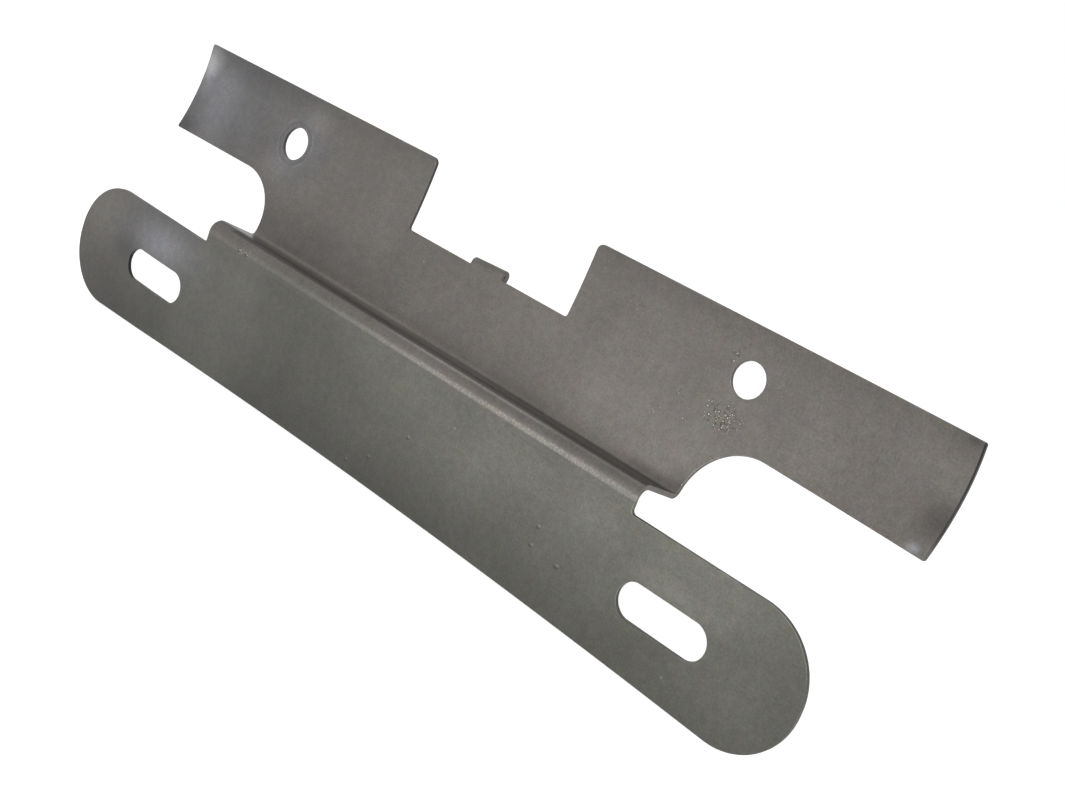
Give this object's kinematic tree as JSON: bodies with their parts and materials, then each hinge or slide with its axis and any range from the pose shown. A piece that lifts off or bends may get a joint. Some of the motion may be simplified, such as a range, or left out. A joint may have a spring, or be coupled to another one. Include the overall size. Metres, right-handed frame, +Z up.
{
  "type": "license plate bracket",
  "caption": "Folded sheet-steel license plate bracket with slotted plate flange, stepped fold and curved upper flange with fixing holes, a notch and a hook tab.",
  "frame": {"origin": "midway between the two plate slots, on the front face of the plate flange", "axes": "+X along the bracket to the viewer's right, +Y away from the viewer towards the vehicle, +Z up"},
  "size_m": [0.2502, 0.0229, 0.0744],
  "materials": {
    "paint": "satin dark grey paint over pressed steel, slightly mottled"
  },
  "bodies": {
    "root": {"bracket": "paint"}
  },
  "joints": []
}
